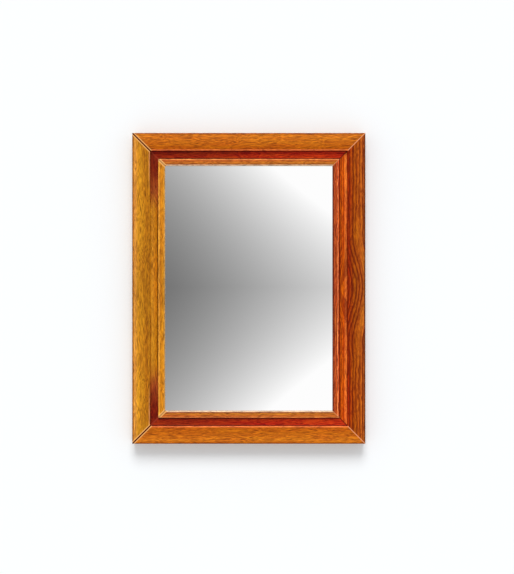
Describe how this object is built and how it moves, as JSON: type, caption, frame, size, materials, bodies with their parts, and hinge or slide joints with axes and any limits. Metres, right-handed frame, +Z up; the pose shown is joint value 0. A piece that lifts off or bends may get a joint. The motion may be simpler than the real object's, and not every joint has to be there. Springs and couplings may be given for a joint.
{
  "type": "framed wall mirror",
  "caption": "Rectangular wall mirror in a broad mitred timber frame with a recessed channel and an inner slip, held from behind by turn buttons and hung by rings.",
  "frame": {"origin": "middle of the frame, on the wall's plane, which the rubber pads touch", "axes": "+Z up along the long side, +Y into the wall, +X to the right of someone looking into the glass"},
  "size_m": [0.45, 0.0353, 0.6],
  "materials": {
    "amber_wood": "stained amber, satin lacquer, fine straight grain",
    "golden_wood": "stained gold, satin lacquer, fine straight grain",
    "russet_wood": "stained russet, satin lacquer, flat-sawn grain",
    "silvered_glass": "silvered float glass, polished arrises",
    "card": "grey-brown packing card",
    "hardboard": "pressed hardboard, smooth face out",
    "zinc_plate": "bright zinc plate on steel",
    "black_steel": "blued hardened steel strip",
    "rubber": "moulded black rubber, matt"
  },
  "bodies": {
    "frame": {"frame_top_rail": "amber_wood", "frame_bottom_rail": "amber_wood", "frame_left_stile": "golden_wood", "frame_right_stile": "russet_wood", "inner_slip_top": "amber_wood", "inner_slip_bottom": "amber_wood", "inner_slip_left": "golden_wood", "inner_slip_right": "russet_wood", "mirror_glass": "silvered_glass", "backing_card": "card", "back_panel": "hardboard", "setting_block_bottom_left": "rubber", "setting_block_bottom_right": "rubber", "setting_block_left": "rubber", "setting_block_right": "rubber", "v_nail_top_left_outer": "black_steel", "v_nail_top_left_inner": "black_steel", "v_nail_top_right_outer": "black_steel", "v_nail_top_right_inner": "black_steel", "v_nail_bottom_left_outer": "black_steel", "v_nail_bottom_left_inner": "black_steel", "v_nail_bottom_right_outer": "black_steel", "v_nail_bottom_right_inner": "black_steel", "wall_pad_upper_left": "rubber", "wall_pad_upper_right": "rubber", "wall_pad_lower_left": "rubber", "wall_pad_lower_right": "rubber", "button_screw_top_left": "zinc_plate", "button_screw_top_right": "zinc_plate", "button_screw_bottom_left": "zinc_plate", "button_screw_bottom_right": "zinc_plate", "button_screw_left_lower": "zinc_plate", "button_screw_left_upper": "zinc_plate", "button_screw_right_lower": "zinc_plate", "button_screw_right_upper": "zinc_plate", "hanger_strap_left": "zinc_plate", "hanger_strap_right": "zinc_plate", "hanger_screw_left_upper": "zinc_plate", "hanger_screw_left_lower": "zinc_plate", "hanger_screw_right_upper": "zinc_plate", "hanger_screw_right_lower": "zinc_plate"},
    "button_top_left": {"turn_button_top_left": "zinc_plate"},
    "button_top_right": {"turn_button_top_right": "zinc_plate"},
    "button_bottom_left": {"turn_button_bottom_left": "zinc_plate"},
    "button_bottom_right": {"turn_button_bottom_right": "zinc_plate"},
    "button_left_lower": {"turn_button_left_lower": "zinc_plate"},
    "button_left_upper": {"turn_button_left_upper": "zinc_plate"},
    "button_right_lower": {"turn_button_right_lower": "zinc_plate"},
    "button_right_upper": {"turn_button_right_upper": "zinc_plate"},
    "ring_left": {"hanger_ring_left": "zinc_plate"},
    "ring_right": {"hanger_ring_right": "zinc_plate"}
  },
  "joints": [
    {"name": "button_top_left_turn", "type": "hinge", "parent": "frame", "child": "button_top_left", "pos_m": [-0.095, -0.01425, 0.254], "axis": [0, 1, 0], "range_deg": [-90, 90]},
    {"name": "button_top_right_turn", "type": "hinge", "parent": "frame", "child": "button_top_right", "pos_m": [0.095, -0.01425, 0.254], "axis": [0, 1, 0], "range_deg": [-90, 90]},
    {"name": "button_bottom_left_turn", "type": "hinge", "parent": "frame", "child": "button_bottom_left", "pos_m": [-0.095, -0.01425, -0.254], "axis": [0, 1, 0], "range_deg": [-90, 90]},
    {"name": "button_bottom_right_turn", "type": "hinge", "parent": "frame", "child": "button_bottom_right", "pos_m": [0.095, -0.01425, -0.254], "axis": [0, 1, 0], "range_deg": [-90, 90]},
    {"name": "button_left_lower_turn", "type": "hinge", "parent": "frame", "child": "button_left_lower", "pos_m": [-0.179, -0.01425, -0.115], "axis": [0, 1, 0], "range_deg": [-90, 90]},
    {"name": "button_left_upper_turn", "type": "hinge", "parent": "frame", "child": "button_left_upper", "pos_m": [-0.179, -0.01425, 0.115], "axis": [0, 1, 0], "range_deg": [-90, 90]},
    {"name": "button_right_lower_turn", "type": "hinge", "parent": "frame", "child": "button_right_lower", "pos_m": [0.179, -0.01425, -0.115], "axis": [0, 1, 0], "range_deg": [-90, 90]},
    {"name": "button_right_upper_turn", "type": "hinge", "parent": "frame", "child": "button_right_upper", "pos_m": [0.179, -0.01425, 0.115], "axis": [0, 1, 0], "range_deg": [-90, 90]},
    {"name": "ring_left_swing", "type": "hinge", "parent": "frame", "child": "ring_left", "pos_m": [-0.1795, -0.0125, 0.212], "axis": [1, 0, 0], "range_deg": [0, 176]},
    {"name": "ring_right_swing", "type": "hinge", "parent": "frame", "child": "ring_right", "pos_m": [0.1795, -0.0125, 0.212], "axis": [1, 0, 0], "range_deg": [0, 176]}
  ]
}
